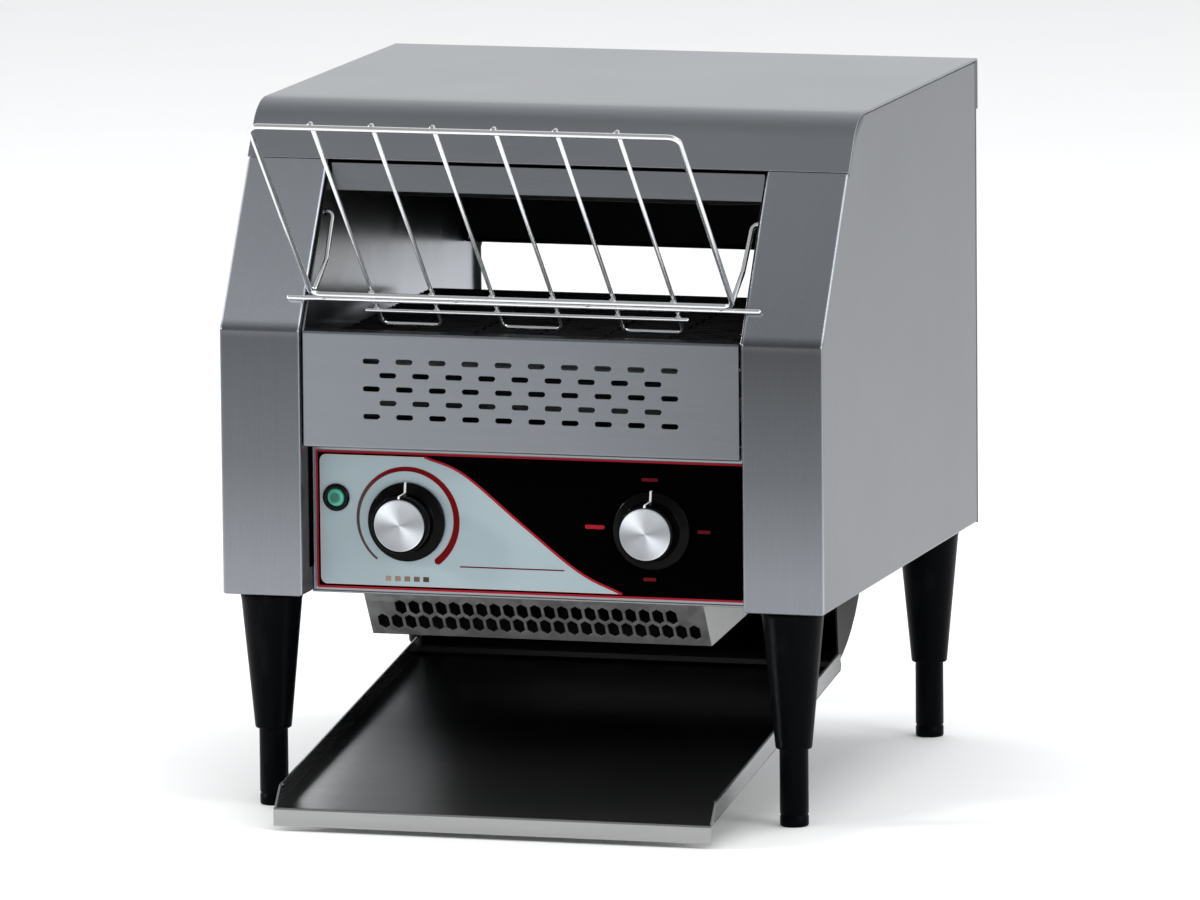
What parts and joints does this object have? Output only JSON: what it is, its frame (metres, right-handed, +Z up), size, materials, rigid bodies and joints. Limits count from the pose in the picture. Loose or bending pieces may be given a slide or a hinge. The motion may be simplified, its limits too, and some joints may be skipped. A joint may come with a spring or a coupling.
{
  "type": "conveyor toaster",
  "caption": "Electric conveyor toaster: brushed steel housing on adjustable legs, lifting wire bread rack, sloping toast tray, rotary controls and a belt oven.",
  "frame": {"origin": "centre of the bounding box's underside, on the surface the feet stand on", "axes": "+Z up; the front with the controls and the tray faces -Y; +X is on the right of a user who faces the front"},
  "size_m": [0.368, 0.4818, 0.4242],
  "materials": {
    "brushed_stainless": "fine brushed grain, satin",
    "polished_stainless": "mirror-like reflector sheet",
    "chrome_wire": "bright chrome plate",
    "galvanised_sheet": "dull sheet",
    "motor_metal": "die-cast, matt",
    "black_plastic": "moulded, satin",
    "leg_black": "black, semi-gloss",
    "printed_overlay": "printed film: silver-grey and black with red lines",
    "spun_aluminium": "spun circular grain",
    "lamp_green": "clear green",
    "machined_steel": "machined, oiled",
    "bronze": "sintered",
    "heater_sheath": "heat-darkened sheath",
    "belt_steel": "dark wire mesh"
  },
  "bodies": {
    "housing": {"side_casing_left": "brushed_stainless", "side_casing_right": "brushed_stainless", "top_cover": "brushed_stainless", "rear_panel": "brushed_stainless", "vent_panel": "brushed_stainless", "control_panel": "brushed_stainless", "front_header": "brushed_stainless", "rear_chute": "brushed_stainless", "oven_wall_left": "polished_stainless", "oven_wall_right": "polished_stainless", "oven_deck": "polished_stainless", "upper_reflector": "polished_stainless", "base_pan": "galvanised_sheet", "lower_vent_pan": "galvanised_sheet", "gear_motor": "motor_metal", "fan_frame": "black_plastic", "speed_control": "black_plastic", "selector_switch": "black_plastic", "lamp_bezel": "black_plastic", "cord_gland": "black_plastic", "leg_sleeve_front_left": "leg_black", "leg_sleeve_front_right": "leg_black", "leg_sleeve_rear_left": "leg_black", "leg_sleeve_rear_right": "leg_black", "control_overlay": "printed_overlay", "lamp_lens": "lamp_green", "drive_chain": "machined_steel", "bush_front_left": "bronze", "bush_front_right": "bronze", "bush_rear_left": "bronze", "bush_rear_right": "bronze", "upper_heater": "heater_sheath", "lower_heater": "heater_sheath", "conveyor_belt": "belt_steel"},
    "bread_rack": {"rack_frame": "chrome_wire", "rack_pivot_bar": "chrome_wire", "rack_arm_left": "chrome_wire", "rack_arm_right": "chrome_wire", "rack_wire_left": "chrome_wire", "rack_wire_middle": "chrome_wire", "rack_wire_right": "chrome_wire", "rack_lower_bar": "chrome_wire"},
    "tray": {"toast_tray": "brushed_stainless"},
    "colour_control": {"colour_knob": "black_plastic", "colour_knob_cap": "spun_aluminium"},
    "selector_control": {"selector_knob": "black_plastic", "selector_knob_cap": "spun_aluminium"},
    "rear_roller": {"drive_shaft": "machined_steel", "rear_sprocket_left": "machined_steel", "rear_sprocket_right": "machined_steel", "driven_chain_sprocket": "machined_steel"},
    "front_roller": {"front_shaft": "machined_steel", "front_sprocket_left": "machined_steel", "front_sprocket_right": "machined_steel"},
    "motor_output": {"motor_sprocket": "machined_steel"},
    "fan_wheel": {"fan_rotor": "black_plastic"},
    "foot_front_left": {"leg_foot_front_left": "leg_black"},
    "foot_front_right": {"leg_foot_front_right": "leg_black"},
    "foot_rear_left": {"leg_foot_rear_left": "leg_black"},
    "foot_rear_right": {"leg_foot_rear_right": "leg_black"}
  },
  "joints": [
    {"name": "rack_lift", "type": "hinge", "parent": "housing", "child": "bread_rack", "pos_m": [0, -0.079, 0.3499], "axis": [-1, 0, 0], "range_deg": [0, 110]},
    {"name": "tray_slide", "type": "slide", "parent": "housing", "child": "tray", "axis": [0, -1, 0], "range_m": [0, 0.26]},
    {"name": "colour_knob_turn", "type": "hinge", "parent": "housing", "child": "colour_control", "pos_m": [-0.075, -0.1205, 0.172], "axis": [0, 1, 0], "range_deg": [-135, 135]},
    {"name": "selector_knob_turn", "type": "hinge", "parent": "housing", "child": "selector_control", "pos_m": [0.075, -0.1205, 0.172], "axis": [0, 1, 0], "range_deg": [0, 270]},
    {"name": "rear_roller_turn", "type": "hinge", "parent": "housing", "child": "rear_roller", "pos_m": [0, 0.0855, 0.2645], "axis": [-1, 0, 0], "continuous": true},
    {"name": "front_roller_turn", "type": "hinge", "parent": "housing", "child": "front_roller", "pos_m": [0, -0.1005, 0.2645], "axis": [-1, 0, 0], "continuous": true},
    {"name": "motor_output_turn", "type": "hinge", "parent": "housing", "child": "motor_output", "pos_m": [0.154, 0.0195, 0.18], "axis": [-1, 0, 0], "continuous": true},
    {"name": "fan_turn", "type": "hinge", "parent": "housing", "child": "fan_wheel", "pos_m": [-0.02, -0.0205, 0.144], "axis": [0, 0, 1], "continuous": true},
    {"name": "foot_front_left_screw", "type": "slide", "parent": "housing", "child": "foot_front_left", "axis": [0, 0, 1], "range_m": [-0.005, 0.02]},
    {"name": "foot_front_right_screw", "type": "slide", "parent": "housing", "child": "foot_front_right", "axis": [0, 0, 1], "range_m": [-0.005, 0.02]},
    {"name": "foot_rear_left_screw", "type": "slide", "parent": "housing", "child": "foot_rear_left", "axis": [0, 0, 1], "range_m": [-0.005, 0.02]},
    {"name": "foot_rear_right_screw", "type": "slide", "parent": "housing", "child": "foot_rear_right", "axis": [0, 0, 1], "range_m": [-0.005, 0.02]}
  ],
  "couplings": [
    {"joint": "front_roller_turn", "follows": "rear_roller_turn", "ratio": 1},
    {"joint": "motor_output_turn", "follows": "rear_roller_turn", "ratio": 1.5}
  ]
}
